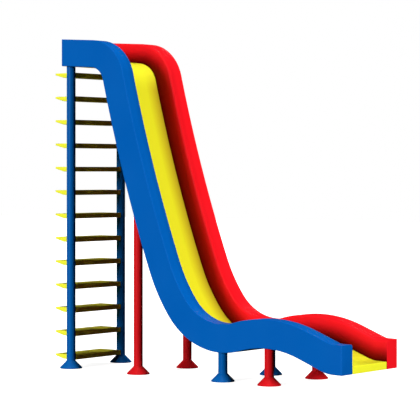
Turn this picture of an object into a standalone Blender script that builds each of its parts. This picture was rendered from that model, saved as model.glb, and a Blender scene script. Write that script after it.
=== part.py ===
"""Straight water slide: an open channel on four pairs of posts, with a ladder of treads.

The slide runs down along +X. The origin is on the floor, under the middle of the whole.
"""

import math

import bmesh
import bpy

# Slide channel, in metres. Angles are in degrees, and positive where the slide falls.
SLIDE_WIDTH = 1.165
WALL_THICKNESS = 0.225
WALL_DEPTH = 0.345
WALL_OUTER_ROUND = 0.008
WALL_INNER_ROUND = 0.030
WALL_LOWER_ROUND = 0.010
BED_DEPTH = 0.090
START_X = -2.056
START_Z = 3.883
EXIT_X = 2.300

# Line of the slide's underside, from the platform to the exit
PLATFORM_LENGTH = 0.509
PLATFORM_SLOPE = 3.49
TOP_BEND_RADIUS = 0.214
CHUTE_TOP_SLOPE = 75.88
CHUTE_RADIUS = 19.12
CHUTE_FOOT_SLOPE = 68.35
SWEEP_RADIUS = 2.287
SWEEP_SLOPE = 52.79
DIP_RADIUS = 1.037
DIP_SLOPE = -15.62
HUMP_RADIUS = 1.373
HUMP_SLOPE = 20.77
RUN_LENGTH = 0.342
EXIT_RADIUS = 0.532
EXIT_SLOPE = 1.46

# Posts and their flared feet
POST_Y = 0.485
POST_RADIUS = 0.057
LADDER_POST_RADIUS = 0.057
LADDER_X = -1.980
CHUTE_POST_X = -0.842
DIP_POST_X = 0.502
HUMP_POST_X = 1.198
FOOT_RADIUS = 0.142
FOOT_RIM_HEIGHT = 0.014

# Ladder treads: wedges whose thin nose points away from the slide
TREAD_COUNT = 13
TREAD_RISE = 0.303
FIRST_TREAD_TOP = 0.166
TREAD_NOSE_X = -0.320
TREAD_KNEE_X = -0.175
TREAD_FRONT_X = 0.040
TREAD_NOSE_DEPTH = 0.023
TREAD_DEPTH = 0.061
TREAD_EDGE = 0.006
TREAD_COPE = 0.010

# Fineness of the round shapes, and the gap that pieces which touch keep
BEND_STEP = 6.0
CHUTE_STEPS = 6
ROUND_STEPS = 4
POST_SIDES = 32
SEAT_GAP = 0.0003

# Colours as sRGB values, and the sheen of moulded plastic and painted steel
BLUE = (0.000, 0.361, 0.706)
RED = (0.960, 0.075, 0.120)
YELLOW = (0.980, 0.930, 0.150)
POST_BLUE = (0.000, 0.290, 0.610)
POST_RED = (0.760, 0.070, 0.090)
PLASTIC_ROUGHNESS = 0.35
PAINT_ROUGHNESS = 0.40


def clear_scene():
    for item in list(bpy.data.objects):
        bpy.data.objects.remove(item, do_unlink=True)


def linear(channel):
    if channel <= 0.04045:
        return channel / 12.92
    return ((channel + 0.055) / 1.055) ** 2.4


def make_material(name, colour, roughness):
    material = bpy.data.materials.new(name)
    material.use_nodes = True
    shader = material.node_tree.nodes["Principled BSDF"]
    shader.inputs["Base Color"].default_value = [linear(c) for c in colour] + [1.0]
    shader.inputs["Roughness"].default_value = roughness
    shader.inputs["Metallic"].default_value = 0.0
    return material


def add_line(stations, length):
    """Continue the slide's line straight on for a length."""
    x, z, slope = stations[-1]
    stations.append((x + length * math.cos(slope), z - length * math.sin(slope), slope))


def add_arc(stations, radius, end_degrees, steps=None):
    """Continue the slide's line along an arc until it has the given slope."""
    x, z, start = stations[-1]
    end = math.radians(end_degrees)
    if steps is None:
        steps = max(2, math.ceil(abs(math.degrees(end - start)) / BEND_STEP))
    turn = math.copysign(radius, end - start)
    for step in range(1, steps + 1):
        slope = start + (end - start) * step / steps
        across = x + turn * (math.sin(slope) - math.sin(start))
        up = z + turn * (math.cos(slope) - math.cos(start))
        stations.append((across, up, slope))


def slide_line():
    """Return the underside as stations (x, z, slope), both ends cut plumb."""
    stations = [(START_X, START_Z, math.radians(PLATFORM_SLOPE))]
    add_line(stations, PLATFORM_LENGTH)
    add_arc(stations, TOP_BEND_RADIUS, CHUTE_TOP_SLOPE)
    add_arc(stations, CHUTE_RADIUS, CHUTE_FOOT_SLOPE, CHUTE_STEPS)
    add_arc(stations, SWEEP_RADIUS, SWEEP_SLOPE)
    add_arc(stations, DIP_RADIUS, DIP_SLOPE)
    add_arc(stations, HUMP_RADIUS, HUMP_SLOPE)
    add_line(stations, RUN_LENGTH)
    add_arc(stations, EXIT_RADIUS, EXIT_SLOPE)
    x, z, slope = stations[-1]
    add_line(stations, (EXIT_X - x) / math.cos(slope))
    for end in (0, -1):
        x, z, slope = stations[end]
        stations[end] = (x, z, 0.0)
    return stations


def raised(station, height):
    """Return the point (x, z) at a height square above the underside."""
    x, z, slope = station
    return x + height * math.sin(slope), z + height * math.cos(slope)


def rounded_corner(y, h, radius, start_degrees):
    """Return points of a quarter round about (y, h), turning anticlockwise."""
    points = []
    for step in range(ROUND_STEPS + 1):
        angle = math.radians(start_degrees + 90.0 * step / ROUND_STEPS)
        points.append((y + radius * math.cos(angle), h + radius * math.sin(angle)))
    return points


def wall_section():
    """Return the far wall's section (y, h), anticlockwise seen along +X from the exit."""
    outer = SLIDE_WIDTH / 2
    inner = outer - WALL_THICKNESS
    low = WALL_LOWER_ROUND
    high = WALL_DEPTH
    points = [(inner, 0.0)]
    points.append((outer - low, 0.0))
    points.append((outer, low))
    points += rounded_corner(outer - WALL_OUTER_ROUND, high - WALL_OUTER_ROUND, WALL_OUTER_ROUND, 0.0)
    points += rounded_corner(inner + WALL_INNER_ROUND, high - WALL_INNER_ROUND, WALL_INNER_ROUND, 90.0)
    return points


def bed_section():
    """Return the bed's section (y, h), which fills the space between the walls."""
    half = SLIDE_WIDTH / 2 - WALL_THICKNESS - SEAT_GAP
    return [(-half, 0.0), (half, 0.0), (half, BED_DEPTH), (-half, BED_DEPTH)]


def new_object(name, bm, material):
    bmesh.ops.recalc_face_normals(bm, faces=bm.faces)
    mesh = bpy.data.meshes.new(name)
    bm.to_mesh(mesh)
    bm.free()
    mesh.materials.append(material)
    mesh.shade_smooth()
    mesh.set_sharp_from_angle(angle=math.radians(35.0))
    item = bpy.data.objects.new(name, mesh)
    bpy.context.scene.collection.objects.link(item)
    return item


def sweep(name, section, stations, material):
    """Carry a section along the slide's line and close both ends."""
    bm = bmesh.new()
    rings = []
    for station in stations:
        ring = []
        for y, h in section:
            x, z = raised(station, h)
            ring.append(bm.verts.new((x, y, z)))
        rings.append(ring)
    count = len(section)
    for lower, upper in zip(rings, rings[1:]):
        for i in range(count):
            j = (i + 1) % count
            bm.faces.new((lower[i], lower[j], upper[j], upper[i]))
    bm.faces.new(rings[0])
    bm.faces.new(rings[-1])
    return new_object(name, bm, material)


def build_slide(stations, blue, red, yellow):
    """Make the two side walls and the bed between them."""
    far = wall_section()
    near = [(-y, h) for y, h in far]
    sweep("blue_side_wall", near, stations, blue)
    sweep("red_side_wall", far, stations, red)
    sweep("slide_bed", bed_section(), stations, yellow)


def hide_cutter(cutter):
    cutter.hide_render = True
    cutter.display_type = "WIRE"


def build_underside_cutter(stations, material):
    """Make the block above the slide's underside, which cuts the posts' tops to fit."""
    side = SLIDE_WIDTH
    top = START_Z + 2 * WALL_DEPTH
    outline = [raised(station, -SEAT_GAP) for station in stations]
    bm = bmesh.new()
    for y in (-side, side):
        for x, z in outline:
            bm.verts.new((x, y, z))
        bm.verts.new((outline[-1][0], y, top))
        bm.verts.new((outline[0][0], y, top))
    verts = list(bm.verts)
    count = len(outline) + 2
    near = verts[:count]
    far = verts[count:]
    for i in range(count):
        j = (i + 1) % count
        bm.faces.new((near[i], near[j], far[j], far[i]))
    bm.faces.new(near)
    bm.faces.new(far)
    cutter = new_object("underside_cutter", bm, material)
    hide_cutter(cutter)
    return cutter


def add_turned(bm, profile):
    """Turn a profile of (radius, height) points about the vertical axis."""
    rings = []
    for radius, height in profile:
        ring = []
        for side in range(POST_SIDES):
            angle = 2 * math.pi * side / POST_SIDES
            ring.append(bm.verts.new((radius * math.cos(angle), radius * math.sin(angle), height)))
        rings.append(ring)
    for lower, upper in zip(rings, rings[1:]):
        for i in range(POST_SIDES):
            j = (i + 1) % POST_SIDES
            bm.faces.new((lower[i], lower[j], upper[j], upper[i]))
    bm.faces.new(rings[0])
    bm.faces.new(rings[-1])


def cut_by(item, cutter):
    cut = item.modifiers.new(cutter.name, "BOOLEAN")
    cut.operation = "DIFFERENCE"
    cut.object = cutter


def foot_height(post_radius):
    """Return the height of a foot whose flare leans at 45 degrees."""
    return FOOT_RIM_HEIGHT + FOOT_RADIUS - post_radius


def build_post(name, x, y, radius, cutter, material):
    """Stand a round post on its foot and cut its top to the slide's underside."""
    bm = bmesh.new()
    add_turned(bm, [(radius, foot_height(radius) + SEAT_GAP), (radius, START_Z + WALL_DEPTH)])
    post = new_object(name, bm, material)
    post.location = (x, y, 0.0)
    cut_by(post, cutter)


def build_foot(name, x, y, radius, material):
    """Make a foot that flares from the post down to a thin rim."""
    bm = bmesh.new()
    add_turned(bm, [(FOOT_RADIUS, 0.0), (FOOT_RADIUS, FOOT_RIM_HEIGHT), (radius, foot_height(radius))])
    foot = new_object(name, bm, material)
    foot.location = (x, y, 0.0)


def build_supports(cutter, post_blue, post_red):
    """Make the four pairs of posts with their feet."""
    pairs = [
        ("ladder", LADDER_X, LADDER_POST_RADIUS, post_blue),
        ("chute", CHUTE_POST_X, POST_RADIUS, post_red),
        ("dip", DIP_POST_X, POST_RADIUS, post_blue),
        ("hump", HUMP_POST_X, POST_RADIUS, post_red),
    ]
    for name, x, radius, material in pairs:
        for side, y in (("near", -POST_Y), ("far", POST_Y)):
            build_post(f"{name}_post_{side}", x, y, radius, cutter, material)
            build_foot(f"{name}_foot_{side}", x, y, radius, material)


def tread_outline():
    """Return the tread's section (x, z) below its top, from the post's axis."""
    edge = TREAD_EDGE
    return [
        (TREAD_NOSE_X, -edge),
        (TREAD_NOSE_X + edge, 0.0),
        (TREAD_FRONT_X - edge, 0.0),
        (TREAD_FRONT_X, -edge),
        (TREAD_FRONT_X, edge - TREAD_DEPTH),
        (TREAD_FRONT_X - edge, -TREAD_DEPTH),
        (TREAD_KNEE_X, -TREAD_DEPTH),
        (TREAD_NOSE_X + edge, -TREAD_NOSE_DEPTH),
        (TREAD_NOSE_X, edge - TREAD_NOSE_DEPTH),
    ]


def tread_mesh(material):
    """Make one tread, long enough to be coped round both ladder posts."""
    half = POST_Y - LADDER_POST_RADIUS + TREAD_COPE
    outline = tread_outline()
    bm = bmesh.new()
    near = [bm.verts.new((x, -half, z)) for x, z in outline]
    far = [bm.verts.new((x, half, z)) for x, z in outline]
    count = len(outline)
    for i in range(count):
        j = (i + 1) % count
        bm.faces.new((near[i], near[j], far[j], far[i]))
    bm.faces.new(near)
    bm.faces.new(far)
    return new_object("tread_1", bm, material)


def build_cope_cutter(name, y, material):
    """Make a bar slightly thicker than a ladder post, which copes the treads' ends."""
    bm = bmesh.new()
    add_turned(bm, [(LADDER_POST_RADIUS + SEAT_GAP, 0.0), (LADDER_POST_RADIUS + SEAT_GAP, START_Z)])
    cutter = new_object(name, bm, material)
    cutter.location = (LADDER_X, y, 0.0)
    hide_cutter(cutter)
    return cutter


def build_treads(yellow):
    """Stack the treads between the ladder posts, one rise apart."""
    cutters = [
        build_cope_cutter("cope_cutter_near", -POST_Y, yellow),
        build_cope_cutter("cope_cutter_far", POST_Y, yellow),
    ]
    first = tread_mesh(yellow)
    for index in range(TREAD_COUNT):
        tread = first
        if index > 0:
            tread = bpy.data.objects.new(f"tread_{index + 1}", first.data)
            bpy.context.scene.collection.objects.link(tread)
        tread.location = (LADDER_X, 0.0, FIRST_TREAD_TOP + index * TREAD_RISE)
        for cutter in cutters:
            cut_by(tread, cutter)


def main():
    clear_scene()
    blue = make_material("blue_plastic", BLUE, PLASTIC_ROUGHNESS)
    red = make_material("red_plastic", RED, PLASTIC_ROUGHNESS)
    yellow = make_material("yellow_plastic", YELLOW, PLASTIC_ROUGHNESS)
    post_blue = make_material("blue_paint", POST_BLUE, PAINT_ROUGHNESS)
    post_red = make_material("red_paint", POST_RED, PAINT_ROUGHNESS)
    stations = slide_line()
    build_slide(stations, blue, red, yellow)
    build_supports(build_underside_cutter(stations, blue), post_blue, post_red)
    build_treads(yellow)


main()
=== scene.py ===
"""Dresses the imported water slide: smooth moulded channel, turned posts and feet, rounded treads."""

import math

import bmesh
import bpy
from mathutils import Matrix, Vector


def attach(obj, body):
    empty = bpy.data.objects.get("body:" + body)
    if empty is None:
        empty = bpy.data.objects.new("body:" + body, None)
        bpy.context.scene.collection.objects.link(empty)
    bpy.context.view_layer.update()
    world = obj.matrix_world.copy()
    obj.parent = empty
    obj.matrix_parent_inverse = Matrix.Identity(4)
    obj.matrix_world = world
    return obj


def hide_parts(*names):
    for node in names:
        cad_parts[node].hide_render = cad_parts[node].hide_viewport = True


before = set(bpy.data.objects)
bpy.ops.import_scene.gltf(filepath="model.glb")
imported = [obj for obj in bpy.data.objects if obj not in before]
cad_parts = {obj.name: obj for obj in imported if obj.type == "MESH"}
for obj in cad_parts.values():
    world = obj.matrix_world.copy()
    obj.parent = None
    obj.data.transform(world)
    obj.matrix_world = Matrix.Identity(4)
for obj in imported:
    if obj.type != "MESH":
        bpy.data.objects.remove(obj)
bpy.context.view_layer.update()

# The solids' driving sizes again, in metres. Angles are in degrees, and positive where the slide falls.
SLIDE_WIDTH = 1.165
WALL_THICKNESS = 0.225
WALL_DEPTH = 0.345
WALL_INNER_ROUND = 0.030
WALL_LOWER_ROUND = 0.010
BED_DEPTH = 0.090
START_X = -2.056
START_Z = 3.883
EXIT_X = 2.300
PLATFORM_LENGTH = 0.509
PLATFORM_SLOPE = 3.49
TOP_BEND_RADIUS = 0.214
CHUTE_TOP_SLOPE = 75.88
CHUTE_RADIUS = 19.12
CHUTE_FOOT_SLOPE = 68.35
SWEEP_RADIUS = 2.287
SWEEP_SLOPE = 52.79
DIP_RADIUS = 1.037
DIP_SLOPE = -15.62
HUMP_RADIUS = 1.373
HUMP_SLOPE = 20.77
RUN_LENGTH = 0.342
EXIT_RADIUS = 0.532
EXIT_SLOPE = 1.46
POST_Y = 0.485
POST_RADIUS = 0.057
LADDER_POST_RADIUS = 0.057
LADDER_X = -1.980
CHUTE_POST_X = -0.842
DIP_POST_X = 0.502
HUMP_POST_X = 1.198
FOOT_RADIUS = 0.142
FOOT_RIM_HEIGHT = 0.014
FLARE_LEAN = 45.0
TREAD_COUNT = 13
TREAD_RISE = 0.303
FIRST_TREAD_TOP = 0.166
TREAD_NOSE_X = -0.320
TREAD_KNEE_X = -0.175
TREAD_FRONT_X = 0.040
TREAD_NOSE_DEPTH = 0.023
TREAD_DEPTH = 0.061
TREAD_COPE = 0.010
SEAT_GAP = 0.0003

# Finer forms that only the dressed pieces have
OUTER_EDGE_ROUND = 0.004
END_ROUND = 0.005
TREAD_EDGE_ROUND = 0.006
TREAD_KNEE_ROUND = 0.030
FOOT_EDGE_ROUND = 0.003
FOOT_FILLET = 0.022

# Fineness of the shapes: the longest steps in degrees and metres, and the counts of steps and sides
BEND_STEP = 1.5
LINE_STEP = 0.060
CORNER_STEPS = 8
END_STEPS = 4
TURNED_SIDES = 72

# How far beside a round its outline has one more point, how sharp a mitred corner may be, and the
# angle in degrees from which an edge looks sharp
SUPPORT_INSET = 0.010
MITRE_LEAST = 0.5
SHARP_ANGLE = 32.0

# Colours as sRGB values
BLUE = (0.000, 0.357, 0.695)
# painted shade for the blue wall's inner side, darkest at the bed
BLUE_PAINTED_SHADE = (0.000, 0.160, 0.330)
RED = (0.985, 0.085, 0.130)
# painted shade for the red wall's inner side, darkest at the bed
RED_PAINTED_SHADE = (0.430, 0.008, 0.008)
YELLOW = (0.900, 0.885, 0.145)
# painted shade for the bed beside the walls
YELLOW_PAINTED_SHADE = (0.720, 0.610, 0.120)
YELLOW_WORN = (0.880, 0.840, 0.200)
# painted light for the bed's flat parts on the platform and at the exit
YELLOW_PAINTED_LIGHT = (0.990, 0.990, 0.200)
TREAD_YELLOW = (0.965, 0.960, 0.170)
# painted shade for the treads' middles, with grimy patches in it
TREAD_PAINTED_SHADE = (0.640, 0.580, 0.120)
POST_BLUE = (0.000, 0.350, 0.650)
POST_RED = (0.820, 0.080, 0.110)
DUSTY_BLUE = (0.350, 0.450, 0.580)
DUSTY_RED = (0.620, 0.350, 0.330)

# Where the colours change, in metres: round a wall (painted shade giving way to full colour), in from the
# bed's sides (painted shade), from its start and from its exit (painted light), in from a tread's ends
# (painted shade), and up from the floor (dust)
LIP_START = WALL_DEPTH - 0.080
CREST = WALL_DEPTH + WALL_THICKNESS / 2
SIDE_SHADE = 0.22
TOP_PAINTED_LIGHT_FULL = 0.60
TOP_PAINTED_LIGHT_END = 0.95
EXIT_PAINTED_LIGHT_START = 0.75
EXIT_PAINTED_LIGHT_FULL = 0.25
TREAD_LIT_END = 0.080
DUST_HEIGHT = 0.22

# How far the colours change, as shares: the painted shade of the walls and the treads, the random fading,
# the wear and the dust
LIP_LIT_SHARE = 0.66
FADE_LIFT = 0.10
FADE_MOST = 0.10
WORN_MOST = 0.16
SHADE_AND_GRIME_LEAST = 0.50
SHADE_AND_GRIME_MOST = 0.72
DUST_MOST = 0.05
DUST_THINNEST = 0.15

# Patterns of patches: scale per metre, detail, roughness, and the values that count as none and as full
FADING = (1.6, 4.0, 0.5, 0.30, 0.70)
STREAKS = (1.0, 5.0, 0.6, 0.35, 0.75)
GRIME_AND_SHADE_PATCHES = (9.0, 5.0, 0.6, 0.30, 0.70)
DUST = (24.0, 6.0, 0.65, 0.42, 0.62)
PLASTIC_POLISH = (3.0, 5.0, 0.6, 0.30, 0.70)
PAINT_POLISH = (5.0, 4.0, 0.5, 0.30, 0.70)

# How fast the streaks change along the bed and across it
STREAK_STRETCH = (0.9, 34.0, 1.0)

# Reliefs: scale per metre, strength, and height in metres
SLOW_WAVES = (7.0, 0.25, 0.0040)
PLASTIC_PEEL = (220.0, 0.10, 0.0006)
PAINT_PEEL = (300.0, 0.12, 0.0004)
TREAD_GRAIN = (260.0, 0.30, 0.0010)
RELIEF_DETAIL = 2.0

# Gloss: the least and the most roughness of each finish, and how strongly the channel and the paint reflect
PLASTIC_ROUGHNESS = (0.30, 0.44)
TREAD_ROUGHNESS = (0.48, 0.62)
PAINT_ROUGHNESS = (0.30, 0.42)
REFLECTION = 0.04

# The mesh layer that holds each face's place on the surface, and the numbers of a mix node's colour sockets
PLACE_LAYER = "metres"
MIX_COLOURS = (6, 7)
MIX_RESULT = 2

# The viewpoint of the photograph
CAMERA_PLACE = (14.561, -18.409, 2.536)
CAMERA_TURN = (90.0, 0.0, 38.5)
CAMERA_LENS = 162.0
CAMERA_SHIFT = -0.0929
SENSOR_WIDTH = 36.0

# The studio. Each light has the direction that it shines from, its strength, its spread in degrees,
# and whether glossy surfaces show it.
LIGHTS = {
    "front_light": ((-0.06, -0.97, 0.22), 3.10, 16.0, True),
    "right_light": ((0.985, 0.0, 0.15), 2.75, 8.0, True),
    "top_light": ((0.0, 0.0, 1.0), 1.50, 20.0, True),
    "back_light": ((-0.25, 0.80, 0.55), 1.60, 14.0, False),
}
WHITE = (1.0, 1.0, 1.0, 1.0)
ROOM_STRENGTH = 0.025
BACKDROP_STRENGTH = 1.0
FLOOR_SIZE = 120.0
FLOOR_GREY = (0.60, 0.60, 0.60, 1.0)
FLOOR_ROUGHNESS = 0.9
FLOOR_GLOW = 0.90


def linear(channel):
    if channel <= 0.04045:
        return channel / 12.92
    return ((channel + 0.055) / 1.055) ** 2.4


def shade(colour):
    """Return an sRGB colour as linear values with full opacity."""
    return [linear(channel) for channel in colour] + [1.0]


def lifted(colour, lift):
    """Return an sRGB colour made lighter by adding to each channel."""
    return tuple(min(1.0, channel + lift) for channel in colour)


def add_line(stations, length):
    """Continue the slide's line straight on for a length."""
    x, z, slope = stations[-1]
    steps = max(1, math.ceil(length / LINE_STEP))
    for step in range(1, steps + 1):
        part = length * step / steps
        stations.append((x + part * math.cos(slope), z - part * math.sin(slope), slope))


def add_arc(stations, radius, end_degrees):
    """Continue the slide's line along an arc until it has the given slope."""
    x, z, start = stations[-1]
    end = math.radians(end_degrees)
    by_angle = abs(math.degrees(end - start)) / BEND_STEP
    by_length = abs(end - start) * radius / LINE_STEP
    steps = math.ceil(max(2, by_angle, by_length))
    turn = math.copysign(radius, end - start)
    for step in range(1, steps + 1):
        slope = start + (end - start) * step / steps
        across = x + turn * (math.sin(slope) - math.sin(start))
        up = z + turn * (math.cos(slope) - math.cos(start))
        stations.append((across, up, slope))


def slide_line():
    """Return the underside as stations (x, z, slope) from the platform to the exit."""
    stations = [(START_X, START_Z, math.radians(PLATFORM_SLOPE))]
    add_line(stations, PLATFORM_LENGTH)
    add_arc(stations, TOP_BEND_RADIUS, CHUTE_TOP_SLOPE)
    add_arc(stations, CHUTE_RADIUS, CHUTE_FOOT_SLOPE)
    add_arc(stations, SWEEP_RADIUS, SWEEP_SLOPE)
    add_arc(stations, DIP_RADIUS, DIP_SLOPE)
    add_arc(stations, HUMP_RADIUS, HUMP_SLOPE)
    add_line(stations, RUN_LENGTH)
    add_arc(stations, EXIT_RADIUS, EXIT_SLOPE)
    x, z, slope = stations[-1]
    add_line(stations, (EXIT_X - x) / math.cos(slope))
    return stations


def line_length(stations):
    """Return the length of the slide's line."""
    return sum(math.hypot(b[0] - a[0], b[1] - a[1]) for a, b in zip(stations, stations[1:]))


def raised(station, height):
    """Return the point (x, z) at a height square above the underside."""
    x, z, slope = station
    return x + height * math.sin(slope), z + height * math.cos(slope)


def underside_height(x, stations):
    """Return the height of the slide's underside at x."""
    for lower, upper in zip(stations, stations[1:]):
        if lower[0] <= x <= upper[0]:
            share = (x - lower[0]) / (upper[0] - lower[0])
            return lower[1] + share * (upper[1] - lower[1])
    raise ValueError("x is off the slide")


def rounded_outline(corners):
    """Return a closed outline from corners (a, b, radius), each round, with points beside each round."""
    points = []
    count = len(corners)
    for i in range(count):
        here = Vector(corners[i][:2])
        before = (Vector(corners[i - 1][:2]) - here).normalized()
        after = (Vector(corners[(i + 1) % count][:2]) - here).normalized()
        radius = corners[i][2]
        if radius == 0.0:
            points.append(here)
            continue
        half = before.angle(after) / 2
        reach = radius / math.tan(half)
        centre = here + (before + after).normalized() * (radius / math.sin(half))
        first = here + before * reach - centre
        last = here + after * reach - centre
        swing = first.angle_signed(last)
        points.append(here + before * (reach + SUPPORT_INSET))
        for step in range(CORNER_STEPS + 1):
            angle = -swing * step / CORNER_STEPS
            turned = Vector((first.x * math.cos(angle) - first.y * math.sin(angle),
                             first.x * math.sin(angle) + first.y * math.cos(angle)))
            points.append(centre + turned)
        points.append(here + after * (reach + SUPPORT_INSET))
    return points


def inset_outline(points, distance):
    """Return a closed outline moved inwards by a distance, its corners mitred."""
    count = len(points)
    area = sum(points[i - 1].x * points[i].y - points[i].x * points[i - 1].y for i in range(count))
    side = math.copysign(1.0, area)
    moved = []
    for i in range(count):
        here = points[i]
        before = (here - points[i - 1]).normalized()
        after = (points[(i + 1) % count] - here).normalized()
        normal = Vector((-before.y - after.y, before.x + after.x)).normalized() * side
        lean = max(MITRE_LEAST, normal.dot(Vector((-after.y, after.x)) * side))
        moved.append(here + normal * (distance / lean))
    return moved


def girth(points):
    """Return the length round a closed outline at each point, and at the end."""
    lengths = [0.0]
    for i in range(len(points)):
        step = (points[(i + 1) % len(points)] - points[i]).length
        lengths.append(lengths[-1] + step)
    return lengths


def end_insets():
    """Return (distance from the end, inset) pairs that round an end over."""
    pairs = []
    for step in range(END_STEPS + 1):
        angle = math.pi / 2 * step / END_STEPS
        pairs.append((END_ROUND * (1 - math.sin(angle)), END_ROUND * (1 - math.cos(angle))))
    return pairs


def loft(name, rings, along, around, end_place, material):
    """Skin a chain of rings and close both ends.

    Each face also keeps its place on the surface, in metres along the chain and round the ring.
    The ends take the look that the sides have at end_place, a distance round the ring.
    """
    bm = bmesh.new()
    layer = bm.loops.layers.uv.new(PLACE_LAYER)
    verts = [[bm.verts.new(point) for point in ring] for ring in rings]
    count = len(rings[0])
    for a in range(len(rings) - 1):
        for i in range(count):
            j = (i + 1) % count
            face = bm.faces.new((verts[a][i], verts[a][j], verts[a + 1][j], verts[a + 1][i]))
            places = [(along[a], around[i]), (along[a], around[i + 1]),
                      (along[a + 1], around[i + 1]), (along[a + 1], around[i])]
            for loop, place in zip(face.loops, places):
                loop[layer].uv = place
    for end in (0, -1):
        face = bm.faces.new(verts[end])
        for loop in face.loops:
            loop[layer].uv = (along[end], end_place)
    bmesh.ops.recalc_face_normals(bm, faces=bm.faces)
    mesh = bpy.data.meshes.new(name)
    bm.to_mesh(mesh)
    bm.free()
    mesh.materials.append(material)
    mesh.shade_smooth()
    mesh.set_sharp_from_angle(angle=math.radians(SHARP_ANGLE))
    piece = bpy.data.objects.new(name, mesh)
    bpy.context.scene.collection.objects.link(piece)
    return piece


def stand_for(piece, node):
    """Let a piece ride with the slide in its node's place, and hide the node."""
    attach(piece, "root")
    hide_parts(node)


def wall_section(side):
    """Return a wall's section (y, h) from the bed's side up, over the top and down the outside."""
    outer = SLIDE_WIDTH / 2
    inner = outer - WALL_THICKNESS
    return rounded_outline([
        (side * inner, 0.0, 0.0),
        (side * inner, WALL_DEPTH, WALL_INNER_ROUND),
        (side * outer, WALL_DEPTH, OUTER_EDGE_ROUND),
        (side * outer, 0.0, WALL_LOWER_ROUND),
    ])


def bed_section():
    """Return the bed's section (y, h), the sliding surface first."""
    half = SLIDE_WIDTH / 2 - WALL_THICKNESS - SEAT_GAP
    return [Vector(point) for point in (
        (-half, BED_DEPTH),
        (-half + SUPPORT_INSET, BED_DEPTH),
        (half - SUPPORT_INSET, BED_DEPTH),
        (half, BED_DEPTH),
        (half, 0.0),
        (-half, 0.0),
    )]


def place_section(section, station):
    """Return a section's points in space, square to the slide's line at a station."""
    ring = []
    for y, h in section:
        x, z = raised(station, h)
        ring.append((x, y, z))
    return ring


def sweep_slide(node, section, end_place, stations, material):
    """Carry a section along the slide's line, its plumb ends rounded over."""
    rings = []
    along = []
    start_x, start_z, start_slope = stations[0]
    for back, inset in reversed(end_insets()):
        plumb = (start_x + back, start_z - back * math.tan(start_slope), 0.0)
        rings.append(place_section(inset_outline(section, inset), plumb))
        along.append(back)
    travelled = 0.0
    for before, here in zip(stations[:-2], stations[1:-1]):
        travelled += math.hypot(here[0] - before[0], here[1] - before[1])
        rings.append(place_section(section, here))
        along.append(travelled)
    exit_x, exit_z, exit_slope = stations[-1]
    travelled += math.hypot(exit_x - stations[-2][0], exit_z - stations[-2][1])
    for back, inset in end_insets():
        plumb = (exit_x - back, exit_z + back * math.tan(exit_slope), 0.0)
        rings.append(place_section(inset_outline(section, inset), plumb))
        along.append(travelled - back)
    piece = loft(f"{node}_shell", rings, along, girth(section), end_place, material)
    stand_for(piece, node)


def build_slide(stations):
    """Make the two side walls and the bed between them."""
    blue = wall_plastic("blue_wall_finish", BLUE, BLUE_PAINTED_SHADE)
    red = wall_plastic("red_wall_finish", RED, RED_PAINTED_SHADE)
    yellow = bed_plastic(line_length(stations))
    bed_middle = SLIDE_WIDTH / 2 - WALL_THICKNESS
    sweep_slide("blue_side_wall", wall_section(-1), CREST, stations, blue)
    sweep_slide("red_side_wall", wall_section(1), CREST, stations, red)
    sweep_slide("slide_bed", bed_section(), bed_middle, stations, yellow)


def turned_ring(x, y, radius, height):
    ring = []
    for side in range(TURNED_SIDES):
        angle = 2 * math.pi * side / TURNED_SIDES
        ring.append((x + radius * math.cos(angle), y + radius * math.sin(angle), height))
    return ring


def turned_girth(radius):
    return [2 * math.pi * radius * side / TURNED_SIDES for side in range(TURNED_SIDES + 1)]


def foot_height(post_radius):
    """Return the height of a foot that flares from a post down to its rim."""
    return FOOT_RIM_HEIGHT + (FOOT_RADIUS - post_radius) * math.tan(math.radians(FLARE_LEAN))


def build_post(name, x, y, radius, stations, material):
    """Stand a round post on its foot, its top following the slide's underside."""
    foot = foot_height(radius) + SEAT_GAP
    top = []
    for place in turned_ring(x, y, radius, 0.0):
        top.append((place[0], place[1], underside_height(place[0], stations) - SEAT_GAP))
    rings = [turned_ring(x, y, radius, foot), top]
    along = [foot, sum(point[2] for point in top) / len(top)]
    piece = loft(f"{name}_tube", rings, along, turned_girth(radius), 0.0, material)
    stand_for(piece, name)


def foot_profile(radius):
    """Return the foot's profile (radius, height): rounded rim, straight flare, hollow fillet at the post."""
    high = foot_height(radius)
    lean = math.radians(FLARE_LEAN)
    rim = FOOT_EDGE_ROUND
    profile = [(FOOT_RADIUS - rim, 0.0)]
    for step in range(1, END_STEPS + 1):
        angle = math.pi / 2 * step / END_STEPS
        profile.append((FOOT_RADIUS - rim + rim * math.sin(angle), rim - rim * math.cos(angle)))
    profile.append((FOOT_RADIUS, FOOT_RIM_HEIGHT - rim))
    for step in range(1, END_STEPS + 1):
        angle = lean * step / END_STEPS
        profile.append((FOOT_RADIUS - rim * (1 - math.cos(angle)),
                        FOOT_RIM_HEIGHT - rim + rim * math.sin(angle)))
    reach = FOOT_FILLET * math.tan(lean / 2)
    stop = math.asin(reach / FOOT_FILLET)
    for step in range(END_STEPS + 1):
        angle = lean + (stop - lean) * step / END_STEPS
        profile.append((radius + FOOT_FILLET * (1 - math.cos(angle)),
                        high + reach - FOOT_FILLET * math.sin(angle)))
    return profile


def build_foot(name, x, y, radius, material):
    """Turn a foot under its post."""
    profile = foot_profile(radius)
    rings = [turned_ring(x, y, size, height) for size, height in profile]
    along = [0.0]
    for before, here in zip(profile, profile[1:]):
        along.append(along[-1] + math.hypot(here[0] - before[0], here[1] - before[1]))
    piece = loft(f"{name}_turned", rings, along, turned_girth(FOOT_RADIUS), 0.0, material)
    stand_for(piece, name)


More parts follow.
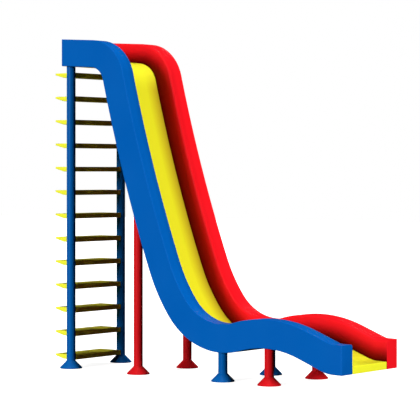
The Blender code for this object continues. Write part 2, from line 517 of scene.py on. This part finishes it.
def build_supports(stations):
    """Make the four pairs of posts with their feet."""
    paints = {
        "blue_paint": post_paint("blue_post_finish", POST_BLUE, DUSTY_BLUE),
        "red_paint": post_paint("red_post_finish", POST_RED, DUSTY_RED),
    }
    pairs = [
        ("ladder", LADDER_X, LADDER_POST_RADIUS, "blue_paint"),
        ("chute", CHUTE_POST_X, POST_RADIUS, "red_paint"),
        ("dip", DIP_POST_X, POST_RADIUS, "blue_paint"),
        ("hump", HUMP_POST_X, POST_RADIUS, "red_paint"),
    ]
    for name, x, radius, slot in pairs:
        for side, y in (("near", -POST_Y), ("far", POST_Y)):
            build_post(f"{name}_post_{side}", x, y, radius, stations, paints[slot])
            build_foot(f"{name}_foot_{side}", x, y, radius, paints[slot])


def tread_outline():
    """Return a tread's section (x, z) below its top, the top side first."""
    return rounded_outline([
        (TREAD_NOSE_X, 0.0, TREAD_EDGE_ROUND),
        (TREAD_FRONT_X, 0.0, TREAD_EDGE_ROUND),
        (TREAD_FRONT_X, -TREAD_DEPTH, TREAD_EDGE_ROUND),
        (TREAD_KNEE_X, -TREAD_DEPTH, TREAD_KNEE_ROUND),
        (TREAD_NOSE_X, -TREAD_NOSE_DEPTH, TREAD_EDGE_ROUND),
    ])


def build_treads():
    """Stack the treads between the ladder posts, one rise apart."""
    half = POST_Y - LADDER_POST_RADIUS + TREAD_COPE
    material = tread_plastic(2 * half)
    section = tread_outline()
    for index in range(TREAD_COUNT):
        top = FIRST_TREAD_TOP + index * TREAD_RISE
        rings = []
        along = []
        for side in (-1, 1):
            insets = end_insets() if side > 0 else reversed(end_insets())
            for back, inset in insets:
                y = side * (half - back)
                outline = inset_outline(section, inset)
                rings.append([(LADDER_X + a, y, top + b) for a, b in outline])
                along.append(y + half)
        node = f"tread_{index + 1}"
        piece = loft(f"{node}_wedge", rings, along, girth(section), 0.0, material)
        stand_for(piece, node)


def new_material(name):
    material = bpy.data.materials.new(name)
    material.use_nodes = True
    return material, material.node_tree, material.node_tree.nodes["Principled BSDF"]


def add_node(tree, kind, values=(), **settings):
    """Add a node with its settings, and with values for its inputs by name or number."""
    node = tree.nodes.new(kind)
    for key, setting in settings.items():
        setattr(node, key, setting)
    for key, value in dict(values).items():
        node.inputs[key].default_value = value
    return node


def noise(tree, place, scale, detail, roughness=0.5):
    """Return the value of a noise texture at a place."""
    values = {"Scale": scale, "Detail": detail, "Roughness": roughness}
    texture = add_node(tree, "ShaderNodeTexNoise", values)
    tree.links.new(place, texture.inputs["Vector"])
    return texture.outputs["Fac"]


def ranged(tree, source, low, high, to_low, to_high, smooth=False):
    """Return a value carried from one range to another."""
    values = {"From Min": low, "From Max": high, "To Min": to_low, "To Max": to_high}
    kind = "SMOOTHSTEP" if smooth else "LINEAR"
    node = add_node(tree, "ShaderNodeMapRange", values, interpolation_type=kind)
    tree.links.new(source, node.inputs["Value"])
    return node.outputs["Result"]


def patches(tree, place, pattern, least, most):
    """Return a pattern of patches that runs from the least to the most."""
    scale, detail, roughness, none, full = pattern
    return ranged(tree, noise(tree, place, scale, detail, roughness), none, full, least, most)


def mixed(tree, factor, first, second):
    """Return a colour mix; each colour is a socket or an sRGB colour."""
    node = add_node(tree, "ShaderNodeMix", data_type="RGBA")
    tree.links.new(factor, node.inputs["Factor"])
    for number, colour in zip(MIX_COLOURS, (first, second)):
        if isinstance(colour, tuple):
            node.inputs[number].default_value = shade(colour)
        else:
            tree.links.new(colour, node.inputs[number])
    return node.outputs[MIX_RESULT]


def calculated(tree, operation, first, second):
    """Return what an operation makes of two values."""
    node = add_node(tree, "ShaderNodeMath", operation=operation)
    tree.links.new(first, node.inputs[0])
    tree.links.new(second, node.inputs[1])
    return node.outputs[0]


def bumped(tree, height, strength, distance, under=None):
    """Return the surface's direction with a relief on it, over another relief if one is given."""
    node = add_node(tree, "ShaderNodeBump", {"Strength": strength, "Distance": distance})
    tree.links.new(height, node.inputs["Height"])
    if under is not None:
        tree.links.new(under, node.inputs["Normal"])
    return node.outputs["Normal"]


def noisy_relief(tree, place, relief, under=None):
    scale, strength, distance = relief
    return bumped(tree, noise(tree, place, scale, RELIEF_DETAIL), strength, distance, under)


def object_place(tree):
    return add_node(tree, "ShaderNodeTexCoord").outputs["Object"]


def split(tree, place):
    """Return the three values of a place."""
    node = add_node(tree, "ShaderNodeSeparateXYZ")
    tree.links.new(place, node.inputs["Vector"])
    return node.outputs["X"], node.outputs["Y"], node.outputs["Z"]


def surface_place(tree):
    """Return the place on the surface, in metres along and round the piece."""
    return add_node(tree, "ShaderNodeUVMap", uv_map=PLACE_LAYER).outputs["UV"]


def stretched(tree, place, scale):
    """Return a place scaled apart along each axis."""
    node = add_node(tree, "ShaderNodeMapping", {"Scale": scale})
    tree.links.new(place, node.inputs["Vector"])
    return node.outputs["Vector"]


def from_both_ends(tree, place, length, reach, smooth=False):
    """Return a value that rises from 0 at both ends of a length to 1 within a reach."""
    from_start = ranged(tree, place, 0.0, reach, 0.0, 1.0, smooth)
    from_end = ranged(tree, place, length, length - reach, 0.0, 1.0, smooth)
    return calculated(tree, "MINIMUM", from_start, from_end)


def finish_moulding(tree, shader, place):
    """Give a moulded surface its gloss, its faint orange peel and its slow waves."""
    polish = patches(tree, place, PLASTIC_POLISH, *PLASTIC_ROUGHNESS)
    tree.links.new(polish, shader.inputs["Roughness"])
    waves = noisy_relief(tree, place, SLOW_WAVES)
    tree.links.new(noisy_relief(tree, place, PLASTIC_PEEL, waves), shader.inputs["Normal"])
    shader.inputs["Specular IOR Level"].default_value = REFLECTION


def wall_plastic(name, bright, painted_shade):
    """Moulded wall: full colour outside and on the lip, with painted shade deeper down inside the channel.
    """
    material, tree, shader = new_material(name)
    place = object_place(tree)
    around = split(tree, surface_place(tree))[1]
    # Painted shade: darkest at the bed, lifting to a share of full colour at the lip and to full colour at
    # the crest
    to_lip = ranged(tree, around, BED_DEPTH, LIP_START, 0.0, LIP_LIT_SHARE)
    over_lip = ranged(tree, around, LIP_START, CREST, 0.0, 1.0 - LIP_LIT_SHARE)
    lit_share = calculated(tree, "ADD", to_lip, over_lip)
    fade = patches(tree, place, FADING, 0.0, FADE_MOST)
    faded = mixed(tree, fade, bright, lifted(bright, FADE_LIFT))
    tree.links.new(mixed(tree, lit_share, painted_shade, faded), shader.inputs["Base Color"])
    finish_moulding(tree, shader, place)
    return material


def bed_plastic(length):
    """Sliding surface: bright, with painted shade beside the walls, streaked along the run, with painted
    light at both flat ends.
    """
    material, tree, shader = new_material("bed_finish")
    metres = surface_place(tree)
    along, around, _ = split(tree, metres)
    # Painted shade beside both walls, fading out towards the middle of the bed
    unshaded_share = from_both_ends(tree, around, SLIDE_WIDTH - 2 * WALL_THICKNESS, SIDE_SHADE)
    streaks = patches(tree, stretched(tree, metres, STREAK_STRETCH), STREAKS, 0.0, WORN_MOST)
    worn = mixed(tree, streaks, YELLOW, YELLOW_WORN)
    run = mixed(tree, unshaded_share, YELLOW_PAINTED_SHADE, worn)
    # Painted light on the platform and at the exit, which also covers the painted shade beside the walls
    # there
    on_top = ranged(tree, along, TOP_PAINTED_LIGHT_END, TOP_PAINTED_LIGHT_FULL, 0.0, 1.0, True)
    at_exit = ranged(tree, along, length - EXIT_PAINTED_LIGHT_START, length - EXIT_PAINTED_LIGHT_FULL, 0.0, 1.0, True)
    painted_light = calculated(tree, "MAXIMUM", at_exit, on_top)
    tree.links.new(mixed(tree, painted_light, run, YELLOW_PAINTED_LIGHT), shader.inputs["Base Color"])
    finish_moulding(tree, shader, object_place(tree))
    return material


def tread_plastic(length):
    """Treads: moulded with a fine gritty grain against slipping, with painted shade and grimy patches but
    for their ends.
    """
    material, tree, shader = new_material("tread_finish")
    place = object_place(tree)
    along = split(tree, surface_place(tree))[0]
    # Painted shade over all but the ends, with random grimy patches in it; the same mask also roughens the
    # surface
    shaded_middle = from_both_ends(tree, along, length, TREAD_LIT_END, True)
    shade_and_grime = calculated(tree, "MULTIPLY", shaded_middle, patches(tree, place, GRIME_AND_SHADE_PATCHES, SHADE_AND_GRIME_LEAST, SHADE_AND_GRIME_MOST))
    tree.links.new(mixed(tree, shade_and_grime, TREAD_YELLOW, TREAD_PAINTED_SHADE), shader.inputs["Base Color"])
    tree.links.new(ranged(tree, shade_and_grime, 0.0, SHADE_AND_GRIME_MOST, *TREAD_ROUGHNESS), shader.inputs["Roughness"])
    scale, strength, distance = TREAD_GRAIN
    grain = add_node(tree, "ShaderNodeTexVoronoi", {"Scale": scale})
    tree.links.new(place, grain.inputs["Vector"])
    relief = bumped(tree, grain.outputs["Distance"], strength, distance)
    tree.links.new(relief, shader.inputs["Normal"])
    return material


def post_paint(name, colour, dusty):
    """Gloss paint on steel, dusty where it nears the floor."""
    material, tree, shader = new_material(name)
    place = object_place(tree)
    height = split(tree, place)[2]
    near_floor = ranged(tree, height, 0.0, DUST_HEIGHT, DUST_MOST, 0.0, True)
    dust = calculated(tree, "MULTIPLY", near_floor, patches(tree, place, DUST, DUST_THINNEST, 1.0))
    tree.links.new(mixed(tree, dust, colour, dusty), shader.inputs["Base Color"])
    polish = patches(tree, place, PAINT_POLISH, *PAINT_ROUGHNESS)
    tree.links.new(calculated(tree, "ADD", polish, dust), shader.inputs["Roughness"])
    tree.links.new(noisy_relief(tree, place, PAINT_PEEL), shader.inputs["Normal"])
    shader.inputs["Specular IOR Level"].default_value = REFLECTION
    return material


def build_floor():
    """Lay a plain pale floor."""
    bm = bmesh.new()
    bmesh.ops.create_grid(bm, x_segments=2, y_segments=2, size=FLOOR_SIZE / 2)
    mesh = bpy.data.meshes.new("floor")
    bm.to_mesh(mesh)
    bm.free()
    material, _, shader = new_material("pale_floor")
    shader.inputs["Base Color"].default_value = FLOOR_GREY
    shader.inputs["Roughness"].default_value = FLOOR_ROUGHNESS
    shader.inputs["Specular IOR Level"].default_value = 0.0
    shader.inputs["Emission Color"].default_value = WHITE
    shader.inputs["Emission Strength"].default_value = FLOOR_GLOW
    mesh.materials.append(material)
    floor = bpy.data.objects.new("floor", mesh)
    bpy.context.scene.collection.objects.link(floor)
    floor.visible_diffuse = False
    floor.visible_glossy = False


def add_sun(name, direction, strength, spread, in_gloss):
    """Add a soft light that shines from a direction."""
    light = bpy.data.lights.new(name, "SUN")
    light.energy = strength
    light.angle = math.radians(spread)
    lamp = bpy.data.objects.new(name, light)
    lamp.rotation_mode = "QUATERNION"
    lamp.rotation_quaternion = Vector(direction).to_track_quat("Z", "Y")
    lamp.visible_glossy = in_gloss
    bpy.context.scene.collection.objects.link(lamp)


def build_room():
    """Make a room that looks white and lights the slide only faintly."""
    world = bpy.data.worlds.new("white_room")
    world.use_nodes = True
    tree = world.node_tree
    tree.nodes.clear()
    seen = add_node(tree, "ShaderNodeLightPath").outputs["Is Camera Ray"]
    dim = add_node(tree, "ShaderNodeBackground", {"Color": WHITE, "Strength": ROOM_STRENGTH})
    white = add_node(tree, "ShaderNodeBackground", {"Color": WHITE, "Strength": BACKDROP_STRENGTH})
    mix = add_node(tree, "ShaderNodeMixShader")
    output = add_node(tree, "ShaderNodeOutputWorld")
    tree.links.new(seen, mix.inputs[0])
    tree.links.new(dim.outputs[0], mix.inputs[1])
    tree.links.new(white.outputs[0], mix.inputs[2])
    tree.links.new(mix.outputs[0], output.inputs["Surface"])
    bpy.context.scene.world = world


def add_camera():
    """Set up the camera at the viewpoint of the photograph."""
    data = bpy.data.cameras.new("camera")
    data.lens = CAMERA_LENS
    data.sensor_width = SENSOR_WIDTH
    data.shift_y = CAMERA_SHIFT
    camera = bpy.data.objects.new("camera", data)
    camera.location = CAMERA_PLACE
    camera.rotation_euler = [math.radians(turn) for turn in CAMERA_TURN]
    bpy.context.scene.collection.objects.link(camera)
    bpy.context.scene.camera = camera


def main():
    bpy.context.scene.view_settings.view_transform = "Standard"
    add_camera()
    stations = slide_line()
    build_slide(stations)
    build_supports(stations)
    build_treads()
    build_floor()
    for name, light in LIGHTS.items():
        add_sun(name, *light)
    build_room()


main()
